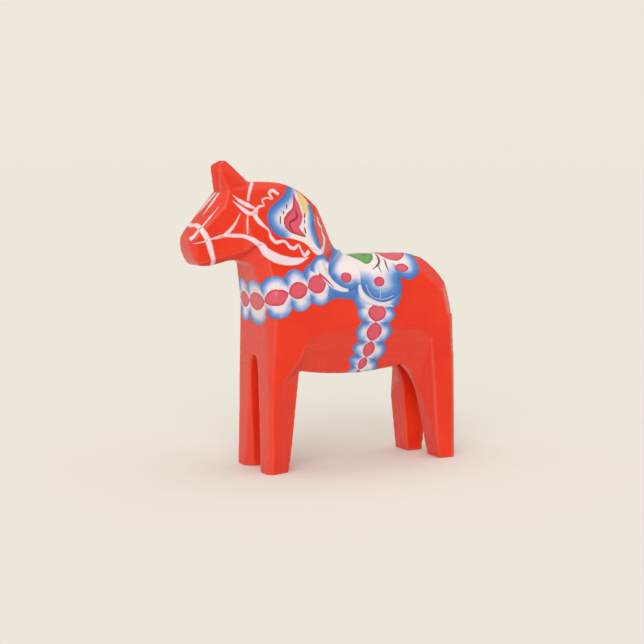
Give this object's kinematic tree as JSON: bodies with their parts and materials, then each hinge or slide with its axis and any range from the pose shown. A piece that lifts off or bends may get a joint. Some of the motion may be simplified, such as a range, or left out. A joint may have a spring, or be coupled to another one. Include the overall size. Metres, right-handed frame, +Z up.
{
  "type": "dala horse",
  "caption": "Standing painted wooden horse with pricked ears and straight blocky legs, carved from glued boards with a folk-painted bridle, saddle and bands.",
  "frame": {"origin": "on the ground, under the middle of the horse's length and width", "axes": "+Z up, the head towards -X, the horse's left side towards -Y"},
  "size_m": [0.2788, 0.076, 0.3],
  "materials": {
    "painted_pine": "gloss red oil paint with a painted folk pattern under clear varnish",
    "dowel_beech": "bare turned dowel, glued in and out of sight"
  },
  "bodies": {
    "root": {"neck_and_head": "painted_pine", "trunk_core": "painted_pine", "left_front_leg": "painted_pine", "right_front_leg": "painted_pine", "left_hind_leg": "painted_pine", "right_hind_leg": "painted_pine", "left_flank": "painted_pine", "right_flank": "painted_pine", "left_ear": "painted_pine", "right_ear": "painted_pine", "front_neck_dowel": "dowel_beech", "rear_neck_dowel": "dowel_beech"}
  },
  "joints": []
}
